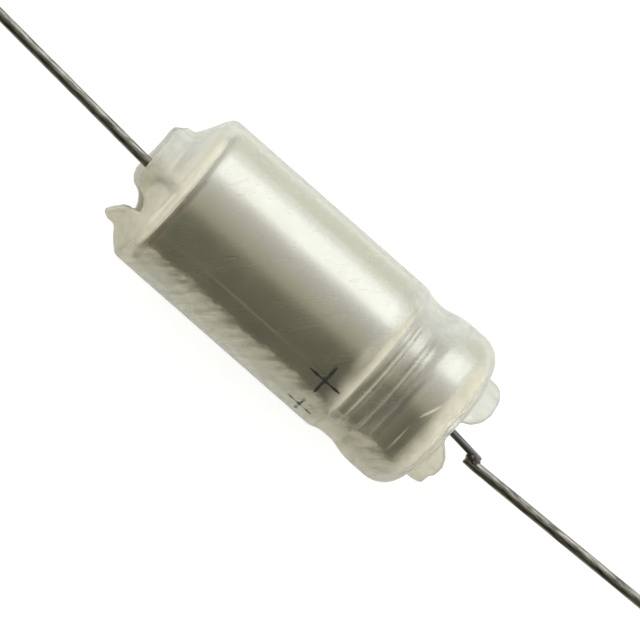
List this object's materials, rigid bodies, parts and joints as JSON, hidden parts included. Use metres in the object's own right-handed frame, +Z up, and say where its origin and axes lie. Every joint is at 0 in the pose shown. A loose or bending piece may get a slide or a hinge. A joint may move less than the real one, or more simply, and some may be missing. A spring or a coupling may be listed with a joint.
{
  "type": "axial tantalum capacitor",
  "caption": "Sealed axial tantalum capacitor: drawn silver case with a rolled neck, shrunk translucent sleeve with ragged ends, and a wire lead at each end.",
  "frame": {"origin": "on the surface it lies on, under the middle of the part's length", "axes": "+X along the case's axis towards the positive lead, +Y the side the leads lean to, +Z up"},
  "size_m": [0.073, 0.0104, 0.0104],
  "materials": {
    "silver_case": "drawn silver, satin with fine scratches",
    "clear_sleeve": "shrunk, milky and see-through, soft gloss",
    "tinned_lead": "tinned nickel wire, dull with drawing marks",
    "tantalum": "dark grey, smooth",
    "sintered_tantalum": "porous, dull, dark",
    "ptfe": "waxy white",
    "elastomer": "black, matte",
    "gel": "clear, slightly cloudy gel"
  },
  "bodies": {
    "root": {"case": "silver_case", "insulating_sleeve": "clear_sleeve", "negative_lead": "tinned_lead", "positive_lead": "tinned_lead", "riser_wire": "tantalum", "anode_slug": "sintered_tantalum", "slug_spacer_foot": "ptfe", "slug_spacer_top": "ptfe", "elastomer_seal": "elastomer", "end_bushing": "ptfe", "electrolyte_gel": "gel"}
  },
  "joints": []
}
